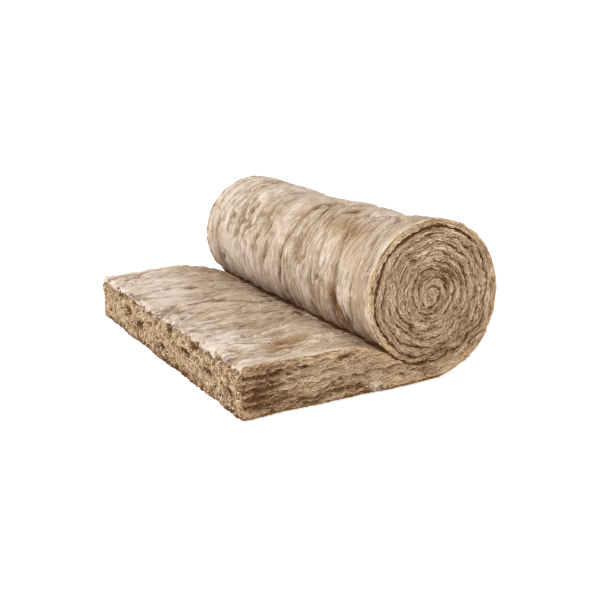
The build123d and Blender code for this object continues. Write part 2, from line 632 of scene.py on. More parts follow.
def set_map(mesh, corners):
    """Gives the mesh its map, from the two parts of each corner's place on it."""
    layer = mesh.uv_layers.new(name="OFBake")
    layer.uv.foreach_set("vector", corners.astype(np.float32).ravel())


def blanket_map(rim, y_rows, flat, cap):
    """A flat layout for maps: the skin across the foot, and the two ends side by side above it."""
    margin = 0.01
    length = np.r_[0, np.cumsum(np.hypot(*(np.roll(rim, -1, 0) - rim).T))]
    wide = (1 - 2 * margin) / length[-1]
    u0, u1 = length[:-1] * wide, length[1:] * wide
    corners = []
    for low, high in zip(y_rows[:-1], y_rows[1:]):
        v0, v1 = (np.full(len(rim), (v + HALF_WIDTH) * wide) for v in (low, high))
        corners.append(np.stack([u0, v0, u0, v1, u1, v1, u1, v0], 1).reshape(-1, 2) + margin)
    size = 0.48 / (HIGH.x - LOW.x)
    for faces, left in ((cap, margin), (cap[:, ::-1], 0.5 + margin)):
        spot = flat[faces.ravel()]
        corners.append(pairs(left + (spot[:, 0] - LOW.x) * size, 0.62 + spot[:, 1] * size))
    return np.concatenate(corners)


def blanket_mesh(lay, sizes):
    """The blanket as a closed mesh, with what the wool does stored at each point."""
    rim = lay.outline(sizes.skin_step)
    soft = sizes.soft_edge
    flat, cap, near = triangulated(rim, lay, sizes.end_step)
    count = len(rim)
    cap_x, cap_z = flat[count:].T
    inner = len(cap_x)
    rows = round(2 * (HALF_WIDTH - soft) / sizes.row_step)
    y_rows = np.linspace(-HALF_WIDTH + soft, HALF_WIDTH - soft, rows + 1)
    side = np.stack(np.broadcast_arrays(rim[:, 0], y_rows[:, None], rim[:, 1]), 2)
    inset = np.clip(soft - near[count:], 0, soft)
    back_y = HALF_WIDTH - soft + np.sqrt(soft**2 - inset**2)
    front = np.stack([cap_x, -back_y, cap_z], 1)
    back = np.stack([cap_x, back_y, cap_z], 1)
    places = np.concatenate([side.reshape(-1, 3), front, back])
    x, y, z = places.T

    here = np.arange(count)
    ahead = np.roll(here, -1)
    low = np.arange(rows)[:, None] * count
    high = low + count
    quads = np.stack([low + here, high + here, high + ahead, low + ahead], 2).reshape(-1, 4)
    base = (rows + 1) * count
    front_faces = np.where(cap < count, cap, cap - count + base)
    back_faces = np.where(cap < count, cap + rows * count, cap - count + base + inner)[:, ::-1]

    # The skin is read a little below its surface, so that no point of it falls outside the wool.
    below = 0.0004
    rim_lay = lay.at(*(rim - outward(rim) * below).T)
    cap_lay = lay.at(cap_x, cap_z)

    def by_part(skin, near_cap, far_cap):
        """Values for all points: those of the skin, of the near end and of the far end."""
        parts = ((skin, base), (near_cap, inner), (far_cap, inner))
        return np.concatenate([np.broadcast_to(np.asarray(value, float), size) for value, size in parts])

    def spread(key):
        """What the wool does at all points, which is the same all across the blanket."""
        return by_part(np.tile(rim_lay[key], rows + 1), cap_lay[key], cap_lay[key])

    zero = by_part(0, 0, 0)
    ends = by_part(0, 1, 1)
    near_end = by_part(0, 1, 0)
    skin_seam = by_part(1, 0, 0)
    rim_gap = by_part(0, near[count:], near[count:])
    along = spread("along")
    under = (z < 0.002).astype(float) * (1 - ends)

    # The cut end's bare wool, from below a wavy lip of skin
    lip = sum(np.sin(pitch * y + pitch) for pitch in (13, 31, 83)) * 0.0024 + 0.012
    cut = np.clip((lay.loft - lip - z) / 0.016, 0, 1)
    cut = np.where((x < LOW.x + 0.008) & (ends == 0), cut, 0)

    def skin_spot(at_s, at_y, slant, long, broad):
        """The square of how far each point of the skin lies from a mark, in its half sizes."""
        lengthwise = along - at_s
        away = (lengthwise / long) ** 2 + ((y - at_y - slant * lengthwise) / broad) ** 2
        return np.where(ends > 0, 99, away + 9 * cut)

    press, torn, dark, tuft = (zero.copy() for _ in range(4))
    for *spot, deep, tear in SKIN_MARKS:
        away = skin_spot(*spot)
        press += deep * np.exp(-away)
        torn += tear * np.exp(-(away**1.5))
        # A narrow mark is a crease, and painted shade darkens it.
        if spot[-1] < CREASE_BREADTH:
            dark += tear * np.exp(-away * 0.6)
    for marks, level, face in ((END_MARKS, x, near_end), (CUT_MARKS, y, cut)):
        for at, at_z, wide, tall, deep, darkness in marks:
            spot = np.exp(-(((level - at) / wide) ** 2 + ((z - at_z) / tall) ** 2)) * face
            press += deep * spot
            dark += darkness * spot
    # Painted shade darkens the bare wool where it meets the floor.
    dark += np.exp(-((z / 0.011) ** 2)) * np.maximum(ends, cut)
    for *spot, reach in TUFTS:
        tuft += np.exp(-np.sum((places - spot) ** 2, 1) / reach**2)
    notes = {
        "lay": np.stack([along, y, spread("depth")], 1),
        "flow": np.stack([spread("flow_x"), zero, spread("flow_z")], 1),
        "curl": np.stack([spread("curl_x"), zero, spread("curl_z")], 1),
        "seam": np.maximum(spread("seam"), skin_seam),
        "end": ends,
        "cut": cut,
        "nip": np.hypot(x - lay.nip_x, z - lay.nip_z),
        "press": press,
        "torn": np.clip(torn, 0, 1),
        "dark": np.clip(dark, -1, 1),
        "tuft": np.clip(tuft, 0, 1) * (1 - under),
        "dimpled": np.exp(-skin_spot(*DIMPLED)),
        "skin": (1 - ends) * (1 - cut) * (1 - under),
        "wrap": spread("wrap"),
        "wrap_seam": np.maximum(spread("wrap_seam"), skin_seam),
        "under": under,
        "sway": np.clip((rim_gap - 0.006) / 0.03, 0, 1),
    }

    mesh = bpy.data.meshes.new("wool_blanket_dressed")
    polygons = quads.tolist() + front_faces.tolist() + back_faces.tolist()
    mesh.from_pydata(settled(lay, places, sizes).tolist(), [], polygons)
    mesh.validate()
    note_all(mesh, notes)
    set_map(mesh, blanket_map(rim, y_rows, flat, cap))
    return mesh


# Relief and fibres

# Where along the blanket the tail's skin gives way to the roll's
TAIL_END = (0.45, 0.50)
# How finely the bare wool's layers and splits change along, across and into the blanket
LAYER_GRAIN = (11.0, 30.0, 105.0)
SPLIT_GRAIN = (8.0, 20.0, 62.0)
# The middle of a three-part noise
MIDDLE = (0.5, 0.5, 0.5)
# The sides of a fibre
SIDES = 3


def lines(loom, place, breadth, distortion, seed):
    """Thin wandering lines, 1 along each and 0 between them."""
    away = abs(loom.noise(place, 1.0, 1.0, 0.5, distortion, seed) - 0.5)
    return 1.0 - away.between(0.0, breadth)


def sway_at(loom, place):
    """How the layers wander at a place, in parts of the largest sway."""
    broad = loom.noise(place, 13.0, 1.0, 0.5, 0.0, 10.0, 1) - MIDDLE
    small = loom.noise(place, 38.0, 1.0, 0.5, 0.0, 11.0, 1) - MIDDLE
    return (broad + small * 0.4) * 2.0


def relief_tree():
    """Gives the smooth blanket its swells, creases, layers, crevices and pits."""
    loom = GeometryLoom(
        "Wool Relief",
        [
            ("Blanket", "Geometry", None),
            ("Swell", "Float", 0.008),
            ("Folds", "Float", 0.018),
            ("Grain", "Float", 0.0050),
            ("Valleys", "Float", 0.018),
            ("Ripples", "Float", 0.0060),
            ("Dimples", "Float", 0.009),
            ("Crevice Depth", "Float", 0.012),
            ("Layer Height", "Float", 0.0050),
            ("Pit Depth", "Float", 0.008),
            ("Sway", "Float", 0.018),
            ("Seed", "Float", 3.0),
            ("Material", "Material", None),
        ],
    )
    given, noise, noted = loom.given, loom.noise, loom.noted
    seed = given("Seed")
    place = loom.node("GeometryNodeInputPosition")
    normal = loom.node("GeometryNodeInputNormal")
    parts = loom.node("ShaderNodeSeparateXYZ", None, {0: place})
    lay = noted("lay", "FLOAT_VECTOR")
    end, cut, under = noted("end"), noted("cut"), noted("under")
    raw = end.most(cut)
    skin = 1.0 - raw

    # The skin: swells, folds and fine streaks along the blanket, creases, dimples and tears
    swell = (noise(place, 6.0, 2.0, 0.5, 0.0, seed) - 0.5) * given("Swell") * 2.0
    fold = noise(lay * (2.6, 13.0, 13.0), 1.0, 2.0, 0.5, 0.8, seed) - 0.5
    grain = noise(lay * (7.0, 46.0, 46.0), 1.0, 4.0, 0.62, 0.7, seed + 2.0) - 0.5
    where = noise(lay * (3.0, 7.0, 7.0), 1.0, 1.0, 0.5, 0.0, seed + 9.0).between(0.36, 0.54)
    valley = lines(loom, lay * (3.0, 17.0, 17.0), 0.045, 0.9, seed + 4.0) * where
    ripple = lines(loom, lay * (8.0, 52.0, 52.0), 0.10, 0.8, seed + 11.0)
    dimple = noise(place, 30.0, 1.0, 0.5, 0.0, seed + 12.0).between(0.50, 0.60) * noted("dimpled")
    ragged = noise(place, 42.0, 3.0, 0.65, 0.4, seed + 15.0) - 0.35
    skin_relief = fold * given("Folds") * 2.0 + grain * given("Grain") * 2.0 - valley * given("Valleys")
    skin_relief = skin_relief - ripple * given("Ripples")
    run = loom.node("ShaderNodeSeparateXYZ", None, {0: lay})
    tail = 1.0 - run.between(*TAIL_END)
    rim = abs(run.out(1)).between(0.48, 0.57)
    skin_relief = skin_relief * (1.0 - rim * 0.6) * (0.75 + tail * 0.25)
    skin_relief = skin_relief - dimple * given("Dimples") - noted("torn") * ragged * 0.022

    # The ends: layers, splits, pits and crumbs, and the open seams between the turns
    layer = noise(lay * LAYER_GRAIN, 1.0, 2.0, 0.6, 0.4, seed + 1.0) - 0.5
    fine = noise(lay * (34.0, 90.0, 240.0), 1.0, 2.0, 0.6, 0.2, seed + 2.0) - 0.5
    split = lines(loom, lay * SPLIT_GRAIN, 0.05, 0.5, seed + 10.0)
    pit = noise(lay * (24.0, 45.0, 80.0), 1.0, 2.0, 0.5, 0.3, seed + 3.0).between(0.60, 0.70)
    clump = noise(place, 34.0, 3.0, 0.65, 0.6, seed + 5.0) - 0.5
    crumb = noise(place, 120.0, 2.0, 0.6, 0.0, seed + 13.0) - 0.5
    cut_pit = noise(place, 60.0, 2.0, 0.6, 0.5, seed + 14.0).between(0.57, 0.64)
    open_seam = noise(lay * (6.0, 5.0, 5.0), 1.0, 2.0, 0.5, 0.0, seed + 6.0).between(0.40, 0.60)
    crevice = (noted("seam") / 0.0026).bell() * (0.25 + open_seam * 0.75)
    crevice = crevice.most((noted("wrap_seam") / 0.0030).bell())
    calm = 1.0 - noted("wrap") * parts.between(0.0, 0.12) * 0.45
    calm = calm * (0.4 + noted("sway") * 0.6)
    end_relief = (layer * given("Layer Height") * 2.0 + fine * 0.004 + crumb * 0.005) * calm
    end_relief = end_relief - pit * given("Pit Depth") * calm - split * 0.006
    end_relief = end_relief - crevice * given("Crevice Depth")
    cut_relief = clump * 0.011 + crumb * 0.008 - cut_pit * 0.016
    raw_relief = end_relief * end + cut_relief * cut

    height = skin_relief * skin + raw_relief - noted("press")
    total = (height + swell - skin * 0.004) * (1.0 - under)
    sway = sway_at(loom, place) * (1.0, 0.0, 1.0) * (given("Sway") * noted("sway"))

    # How hollow and how raised each place is goes with the mesh, for painted shade and highlights and for
    # the fibres.
    sunk = -(skin_relief * skin + raw_relief) + noted("press") * (raw + noted("torn")).least(1.0)
    kept = loom.note(given("Blanket"), "hollow", (sunk / 0.012).most(0.0).least(1.0))
    kept = loom.note(kept, "crest", (height / 0.009).most(0.0).least(1.0))
    moved = loom.node("GeometryNodeSetPosition", None, {0: kept, "Offset": normal * total + sway})
    on_floor = {0: parts, 1: parts.out(1), 2: parts.out(2).most(0.0)}
    on_floor = loom.node("ShaderNodeCombineXYZ", None, on_floor)
    rested = loom.node("GeometryNodeSetPosition", None, {0: moved, "Position": on_floor})
    return loom.finish(rested)


def fibre_tree():
    """Combs tapered fibres over the blanket, along its flow or stirred across it."""
    loom = GeometryLoom(
        "Wool Fibres",
        [
            ("Blanket", "Object", None),
            ("Where", "String", ""),
            ("Count per Area", "Float", 20000.0),
            ("Nearest Y", "Float", -1.0),
            ("Furthest Y", "Float", 1.0),
            ("Length", "Float", 0.04),
            ("Radius", "Float", 0.0008),
            ("Lift", "Float", 0.002),
            ("Stand", "Float", 0.0),
            ("Fan", "Float", 0.25),
            ("Wave", "Float", 0.004),
            ("Wave Scale", "Float", 38.0),
            ("Sway", "Float", 0.018),
            ("Points", "Int", 5),
            ("Tone", "Float", 0.5),
            ("Contrast", "Float", 0.8),
            ("Cloud Scale", "Vector", (12.0, 20.0, 85.0)),
            ("Seed", "Int", 1),
            ("Material", "Material", None),
        ],
    )
    given, noted, node = loom.given, loom.noted, loom.node
    seed = given("Seed")
    own_space = {"transform_space": "RELATIVE"}
    source = node("GeometryNodeObjectInfo", own_space, {0: given("Blanket")}, "Geometry")
    place = node("GeometryNodeInputPosition")
    parts = node("ShaderNodeSeparateXYZ", None, {0: place})
    shown = parts.out(1).between(given("Nearest Y"), given("Nearest Y") + 0.001)
    shown = shown * (1.0 - parts.out(1).between(given("Furthest Y") - 0.001, given("Furthest Y")))
    where = noted(given("Where"))

    # Fewer fibres in hollows, gaps, tears and the nip, at the rims and under the blanket
    sparse = (1.0 - noted("hollow") * 0.6) * (1.0 - noted("under")) * (1.0 - noted("dark").most(0.0) * 0.25)
    clear = noted("skin") * 0.033 + 0.022
    sparse = sparse * noted("nip").between(clear, clear * 2.0) * (1.0 - noted("torn") * 0.8)
    sparse = sparse * (1.0 - noted("end") * (1.0 - noted("sway")) * 0.35)
    sparse = sparse * (0.04 + noted("wrap_seam").between(0.0008, 0.0048) * 0.96)
    sparse = sparse * (0.45 + noted("seam").between(0.0003, 0.0025) * 0.55)
    density = given("Count per Area") * where.between(0.4, 0.9) * shown * sparse
    roots = node(
        "GeometryNodeDistributePointsOnFaces",
        {"distribute_method": "RANDOM"},
        {"Mesh": source, "Density": density, "Seed": seed},
    )

    # Each fibre starts as a straight line that lies along the wool's flow, turned by its fan.
    aimed = node(
        "FunctionNodeAxesToRotation",
        {"primary_axis": "Z", "secondary_axis": "X"},
        {0: roots.out("Normal"), 1: noted("flow", "FLOAT_VECTOR")},
    )
    turn = loom.chance(-1.0, 1.0, seed + 11)
    twist = turn * abs(turn) * given("Fan")
    stirred = node("FunctionNodeAxisAngleToRotation", None, {0: (0.0, 0.0, 1.0), 1: twist})
    aimed = node("FunctionNodeRotateRotation", {"rotation_space": "LOCAL"}, {0: aimed, 1: stirred})
    curl = noted("curl", "FLOAT_VECTOR")
    tight = node("ShaderNodeVectorMath", {"operation": "LENGTH"}, {0: curl}, "Value")
    reach = (given("Length") * loom.chance(0.55, 1.45, seed + 12)).least(0.9 / tight.most(0.01))
    line = node("GeometryNodeCurvePrimitiveLine", None, {0: (-0.5, 0.0, 0.0), 1: (0.5, 0.0, 0.0)})
    line = node("GeometryNodeResampleCurve", None, {"Curve": line, "Count": given("Points")})
    strands = node(
        "GeometryNodeInstanceOnPoints",
        None,
        {"Points": roots, "Instance": line, "Rotation": aimed, "Scale": reach * (1.0, 1.0, 1.0)},
    )
    strands = loom.note(strands, "reach", reach, "INSTANCE")
    strands = loom.note(strands, "pick", loom.chance(0.0, 1.0, seed + 13), "INSTANCE")
    strands = loom.note(strands, "number", node("GeometryNodeInputIndex"), "INSTANCE")
    strands = loom.note(strands, "root", place, "INSTANCE", "FLOAT_VECTOR")
    strands = node("GeometryNodeRealizeInstances", None, {0: strands})

    # It bends with the turns, waves, sways with the layers and is laid on the face.
    share = node("GeometryNodeSplineParameter")
    from_middle = (share - 0.5) * noted("reach")
    bent = place + curl * (from_middle * from_middle * 0.5)
    wave = loom.noise(bent, given("Wave Scale"), 2.0, 0.6, 0.0, noted("pick") * 3.0, 1) - MIDDLE
    shared = sway_at(loom, bent) - sway_at(loom, noted("root", "FLOAT_VECTOR"))
    wander = wave * 2.0 * given("Wave") + shared * given("Sway")
    strands = node("GeometryNodeSetPosition", None, {0: strands, "Position": bent + wander})
    face = node("GeometryNodeProximity", {"target_element": "FACES"}, {0: source, "Sample Position": place})
    upward = node(
        "GeometryNodeSampleNearestSurface",
        {"data_type": "FLOAT_VECTOR"},
        {"Mesh": source, "Value": node("GeometryNodeInputNormal"), "Sample Position": place},
    )
    hump = share * (1.0 - share) * 4.0
    rim = noted("end") * (1.0 - noted("sway"))
    height = given("Lift") * noted("pick") * hump * (1.0 - rim * 0.6) - given("Radius") * 0.4
    height = height + given("Stand") * noted("reach") * share * share
    laid = face + upward * height
    parts = node("ShaderNodeSeparateXYZ", None, {0: laid})
    laid = node("ShaderNodeCombineXYZ", None, {0: parts, 1: parts.out(1), 2: parts.out(2).most(0.0012)})
    strands = node("GeometryNodeSetPosition", None, {0: strands, "Position": laid})

    # Its tone drifts in clouds over the wool.
    cloud = loom.noise(noted("lay", "FLOAT_VECTOR") * given("Cloud Scale"), 1.0, 3.0, 0.6, 0.5, 3.0) - 0.5
    tone = given("Tone") + ((noted("pick") - 0.5) * 0.55 + cloud * 1.9) * given("Contrast")
    # Painted shade lowers it in hollows, gaps and the darkened marks, and a painted highlight raises it on
    # crests.
    tone = tone - noted("hollow") * (0.5 + noted("cut") * 0.4) + noted("crest") * 0.2
    tone = tone - noted("dark") * 0.7 + rim * 0.06
    tone = tone - (noted("wrap_seam") / 0.0045).bell() * 0.55
    strands = loom.note(strands, "tone", tone.most(0.0).least(1.0))
    strands = loom.note(strands, "share", share)

    # It becomes a tube with thin ends.
    edge = share * 2.0 - 1.0
    thick = 0.2 + 0.8 * (1.0 - edge * edge * edge * edge)
    ring = {"Resolution": SIDES, "Radius": given("Radius")}
    ring = node("GeometryNodeCurvePrimitiveCircle", {"mode": "RADIUS"}, ring)
    tubes = node(
        "GeometryNodeCurveToMesh",
        None,
        {
            "Curve": strands,
            "Profile Curve": ring,
            "Scale": thick * (0.6 + noted("pick") * 0.8),
            "Fill Caps": True,
        },
    )
    return loom.finish(tubes)


# What the fibres no longer need once they are made
SPARE_NOTES = {
    "flow", "curl", "seam", "end", "cut", "nip", "press", "torn", "under", "sway", "reach", "number",
    "root", "dark", "tuft", "dimpled", "skin", "wrap", "wrap_seam", "hollow", "crest", "pick",
}


def comb(name, tree, values, material):
    """One piece of fibres on the blanket, as a plain mesh with its own map."""
    blanket = bpy.data.objects["blanket"]
    piece = bpy.data.objects.new(name, bpy.data.meshes.new(name))
    bpy.context.scene.collection.objects.link(piece)
    tree.applied(piece, {"Blanket": blanket, "Material": material, **values})
    mesh = piece.data
    if not len(mesh.polygons):
        raise RuntimeError(f"{name} has no fibres")

    def numbers(name):
        found = np.empty(len(mesh.vertices), np.float32)
        mesh.attributes[name].data.foreach_get("value", found)
        return found

    # Each fibre has a cell of its own on the map, which it fills lengthwise and all round.
    share = numbers("share")
    _, which = np.unique(np.round(numbers("number")), return_inverse=True)
    side = math.ceil(math.sqrt(which.max() + 1))
    corner = np.empty(len(mesh.loops), np.int32)
    mesh.loops.foreach_get("vertex_index", corner)
    around = (np.arange(len(mesh.vertices)) % SIDES) / SIDES
    u = (which % side + 0.15 + 0.7 * share) / side
    v = (which // side + 0.2 + 0.6 * around) / side
    set_map(mesh, np.stack([u, v], 1)[corner])
    for spare in [a.name for a in mesh.attributes if a.name in SPARE_NOTES]:
        mesh.attributes.remove(mesh.attributes[spare])
    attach(piece, "root")


# Materials


def principled(name):
    """A new material: its loom and its shader's sockets."""
    material = bpy.data.materials.new(name)
    material.use_nodes = True
    shader = material.node_tree.nodes["Principled BSDF"]
    return material, Loom(material.node_tree), shader.inputs


def noted_in(loom, name, out="Fac"):
    """A value stored on the mesh, read by a material."""
    return loom.node("ShaderNodeAttribute", {"attribute_name": name}, None, out)


def wool_material(colours):
    """The blanket: pale streaked skin on its faces, brown layered wool on its ends."""
    material, loom, shader = principled("wool_blanket")
    lay = noted_in(loom, "lay", "Vector")
    hollow = noted_in(loom, "hollow")
    end, cut = noted_in(loom, "end"), noted_in(loom, "cut")
    raw = end.most(cut)
    noise = loom.noise
    place = loom.node("ShaderNodeTexCoord", None, None, "Object")
    crest = noted_in(loom, "crest")
    along = loom.node("ShaderNodeSeparateXYZ", None, {0: lay})
    across = along.out(1)
    nip = noted_in(loom, "nip")
    tail = 1.0 - along.between(*TAIL_END)

    # The skin: pale where it is smooth, browner in streaks, with painted shade in its hollows and pale
    # threads
    broad = noise(lay * (3.0, 9.0, 9.0), 1.0, 3.0, 0.6, 0.5, 3.0) + across * 0.10
    streak = noise(lay * (7.0, 64.0, 64.0), 1.0, 4.0, 0.62, 0.6, 3.0) * tail
    streak = streak + noise(lay * (19.0, 58.0, 58.0), 1.0, 4.0, 0.68, 0.9, 3.0) * (1.0 - tail)
    fleck = noise(lay * (24.0, 110.0, 110.0), 1.0, 3.0, 0.6, 0.5, 7.0)
    hair = noise(lay * (40.0, 420.0, 420.0), 1.0, 3.0, 0.65, 0.3, 8.0)
    # A painted highlight pales the skin on its crests.
    paleness = broad * 0.55 + streak * 0.45 + crest * 0.12 - (1.0 - tail) * 0.04
    paleness = paleness + tail * (0.03 - along.between(0.05, 0.42) * 0.25)
    skin = loom.mix(paleness.between(0.39, 0.56), colours.skin_tan, colours.skin_pale)
    # Painted shade browns the skin in its hollows.
    browned = streak * 0.35 + hair * 0.25 + fleck * 0.25 + broad * 0.15 - hollow * 0.32 - tail * 0.02
    skin = loom.mix(browned.between(0.22, 0.46), colours.skin_brown, skin)
    thread = lines(loom, lay * (9.0, 85.0, 85.0), 0.035, 1.0, 12.0) * fleck.between(0.45, 0.65)
    skin = loom.mix(thread * 0.8, skin, colours.fluff)
    speck = noise(place, 130.0, 3.0, 0.7, 0.8, 17.0)
    skin = loom.mix(speck.between(0.53, 0.66) * 0.45, skin, colours.skin_brown)
    curl = lines(loom, place * 55.0, 0.05, 1.8, 16.0) * fleck.between(0.40, 0.60)
    skin = loom.mix(curl * 0.45, skin, colours.fluff)

    # Olive wool in the dimples, and golden wool where the skin is torn
    mottle = noise(place, 30.0, 1.0, 0.5, 0.0, 15.0) * 0.7 + noise(place, 70.0, 3.0, 0.65, 0.5, 5.0) * 0.3
    mottle = mottle.between(0.47, 0.58) * noted_in(loom, "dimpled")
    skin = loom.mix(mottle * 0.8, skin, colours.olive)
    torn = noted_in(loom, "torn") * 0.6 + (fleck - 0.5) * 1.6 + (streak - 0.5) * 1.6
    bare = loom.mix(streak.between(0.38, 0.60) * 0.65, colours.brown, colours.golden)
    bare = loom.mix(fleck.between(0.54, 0.68) * 0.6, bare, colours.straw)
    # Painted shade darkens the torn wool in its hollows.
    bare = loom.mix(hollow.between(0.5, 1.0) * (0.45 + hair), bare, colours.dark)
    skin = loom.mix(torn.between(0.10, 0.70) * noted_in(loom, "torn").between(0.0, 0.3), skin, bare)

    # Fluff on the rims, a brown line beside the far one and golden clouds
    rim = abs(across).between(0.535, 0.565)
    skin = loom.mix(rim * 0.5, skin, colours.fluff)
    edge = ((across - 0.528) / 0.005).bell()
    skin = loom.mix(edge * fleck.between(0.35, 0.55) * 0.8, skin, colours.brown)
    tint = noise(place, 6.0, 3.0, 0.6, 0.6, 9.0)
    skin = loom.mix(tint.between(0.50, 0.64) * 0.30, skin, colours.golden)
    # Painted shade: browner in streaks towards the nip
    shaded = 1.0 - nip.between(0.0, 0.15)
    skin = loom.mix(shaded * (0.05 + streak.between(0.42, 0.62) * 0.55), skin, colours.brown)
    # Painted shade in the marked creases
    crease_shade = noted_in(loom, "dark").between(0.1, 0.8)
    skin = loom.mix(crease_shade * (0.3 + fleck * 0.7), skin, colours.dark)
    # Painted shade, darkest in the nip itself
    nip_shade = 1.0 - nip.between(0.004, 0.013)
    skin = loom.mix(nip_shade * (0.80 + streak * 0.4), skin, colours.nip)

    # The bare wool: brown and tan layers with pale hairs, and painted shade in its gaps and hollows
    layer = noise(lay * LAYER_GRAIN, 1.0, 3.0, 0.6, 0.4, 4.0)
    crumb = noise(lay * (70.0, 330.0, 300.0), 1.0, 3.0, 0.7, 0.3, 6.0)
    strand = noise(lay * (30.0, 330.0, 520.0), 1.0, 3.0, 0.7, 0.3, 6.0)
    # A painted highlight lightens the crests.
    light = layer * 0.4 + crumb * 0.35 + strand * 0.25 + crest * 0.12 - cut * 0.08
    body = loom.mix(light.between(0.43, 0.57), colours.brown, colours.tan)
    body = loom.mix(hair.between(0.54, 0.68) * 0.6, body, colours.fluff)
    gap = (noted_in(loom, "seam") / 0.0024).bell()
    wrap_gap = (noted_in(loom, "wrap_seam") / 0.0034).bell()
    split = lines(loom, lay * SPLIT_GRAIN, 0.05, 0.5, 13.0)
    dark = hollow * 0.9 + (0.5 - crumb) * 1.3 + noted_in(loom, "dark") * (0.3 + layer)
    dark = dark + gap * end * (layer * 1.3 - 0.1) + split * end * 0.3
    dark = dark + wrap_gap * end * 1.3
    body = loom.mix(dark.between(0.05, 0.9), body, colours.dark)
    colour = loom.mix(raw.between(0.3, 0.7), skin, body)
    loom.feed(shader["Base Color"], colour)
    shader["Roughness"].default_value = 0.95
    shader["Specular IOR Level"].default_value = 0.06
    height = hair + streak + strand * raw - speck * 0.5
    bump = loom.node("ShaderNodeBump", None, {"Strength": 0.6, "Distance": 0.002, "Height": height})
    loom.feed(shader["Normal"], bump)
    return material


def fibre_material(name, dark, middle, pale):
    """Fibres of one kind, from dark to pale by the tone that each was given."""
    material, loom, shader = principled(name)
    tone = noted_in(loom, "tone")
    share = noted_in(loom, "share")
    grain = loom.noise(noted_in(loom, "lay", "Vector") * (60.0, 300.0, 300.0), 1.0, 2.0, 0.6, 0.0, 2.0)
    stops = [(0.0, dark), (0.45, middle), (1.0, pale)]
    tone = tone + (grain - 0.5) * 0.25 + (share - 0.5) * 0.08
    loom.feed(shader["Base Color"], loom.node("ShaderNodeValToRGB", {"stops": stops}, {0: tone}))
    shader["Roughness"].default_value = 0.9
    shader["Specular IOR Level"].default_value = 0.1
    return material


# Sizes and colours that a user would change


class WoolSizes(bpy.types.PropertyGroup):
    """The blanket's sizes and the fineness of its mesh."""

    loft: FloatProperty(name="Loft", description="Thickness of the free tail", default=0.150, unit="LENGTH")
    under_roll: FloatProperty(
        name="Under Roll", description="Thickness where the roll rests", default=0.056, unit="LENGTH"
    )
    wound: FloatProperty(name="Wound", description="Thickness of a wound turn", default=0.024, unit="LENGTH")
    shoulder: FloatProperty(
        name="Shoulder", description="Over which the tail drops to the nip", default=0.190, unit="LENGTH"
    )
    nip_angle: FloatProperty(
        name="Nip Angle", description="Degrees round the roll from its lowest point to the nip", default=42.0
    )
    soft_edge: FloatProperty(
        name="Soft Edge", description="Radius of the edges at the two ends", default=0.009, unit="LENGTH"
    )
    far_end_taper: FloatProperty(
        name="Far End Taper", description="How much smaller that end is", default=0.0625, subtype="FACTOR"
    )
    sag: FloatProperty(
        name="Sag", description="How much lower the roll's middle is", default=0.062, subtype="FACTOR"
    )
    far_loft: FloatProperty(
        name="Far Loft", description="The far end's loft, as a share", default=0.968, subtype="FACTOR"
    )
    skin_step: FloatProperty(
        name="Skin Step", description="Mesh spacing along the skin", default=0.0088, unit="LENGTH"
    )
    row_step: FloatProperty(
        name="Row Step", description="Mesh spacing across the blanket", default=0.0046, unit="LENGTH"
    )
    end_step: FloatProperty(
        name="End Step", description="Mesh spacing on the two ends", default=0.0041, unit="LENGTH"
    )


class WoolColours(bpy.types.PropertyGroup):
    """The colours of the wool, from its deepest gaps to its palest skin."""

    # The darkest wool, and the painted shade in gaps, hollows and creases
    dark: FloatVectorProperty(
        name="Dark", description="Deep between the layers", default=(0.150, 0.068, 0.025), subtype="COLOR"
    )
    brown: FloatVectorProperty(
        name="Brown", description="Shaded wool", default=(0.290, 0.170, 0.086), subtype="COLOR"
    )
    tan: FloatVectorProperty(name="Tan", description="Lit wool", default=(0.51, 0.35, 0.21), subtype="COLOR")
    # The painted shade in the nip
    nip: FloatVectorProperty(
        name="Nip", description="Under the roll's edge", default=(0.085, 0.034, 0.012), subtype="COLOR"
    )
    golden: FloatVectorProperty(
        name="Golden", description="Wool bared by a tear", default=(0.38, 0.245, 0.125), subtype="COLOR"
    )
    skin_brown: FloatVectorProperty(
        name="Skin Brown", description="Streaks in the skin", default=(0.31, 0.212, 0.133), subtype="COLOR"
    )
    skin_tan: FloatVectorProperty(
        name="Skin Tan", description="Thin skin over the wool", default=(0.46, 0.345, 0.245), subtype="COLOR"
    )
    skin_pale: FloatVectorProperty(
        name="Skin Pale", description="Smooth skin", default=(0.65, 0.558, 0.482), subtype="COLOR"
    )
    olive: FloatVectorProperty(
        name="Olive", description="Wool in the dimples", default=(0.30, 0.235, 0.135), subtype="COLOR"
    )
    straw: FloatVectorProperty(
        name="Straw", description="Palest bare wool", default=(0.80, 0.65, 0.46), subtype="COLOR"
    )
    fluff: FloatVectorProperty(
        name="Fluff", description="Palest loose fibres", default=(0.86, 0.73, 0.58), subtype="COLOR"
    )


class WoolStage(bpy.types.PropertyGroup):
    """The camera and the lights."""

    azimuth: FloatProperty(
        name="Azimuth", description="From +Y towards +X", default=math.radians(28.36), subtype="ANGLE"
    )
    elevation: FloatProperty(
        name="Elevation", description="Below the level", default=math.radians(16.01), subtype="ANGLE"
    )
    roll: FloatProperty(
        name="Roll", description="How far the camera leans", default=math.radians(-1.0), subtype="ANGLE"
    )
    distance: FloatProperty(
        name="Distance", description="From camera to target", default=3.809, unit="LENGTH"
    )
    target: FloatVectorProperty(
        name="Target",
        description="What the camera is aimed at",
        default=(0.253, 0.351, 0.009),
        subtype="XYZ",
    )
    lens: FloatProperty(
        name="Lens", description="Focal length in millimetres on a 36 mm frame", default=61.9
    )
    daylight: FloatProperty(name="Daylight", description="Strength of the white surround", default=0.70)
    key_power: FloatProperty(name="Key Power", description="Watts of the large lamp", default=92.0)


# The pieces


def settings():
    """The three groups of settings that hang on the scene."""
    scene = bpy.context.scene
    return scene.wool_sizes, scene.wool_colours, scene.wool_stage


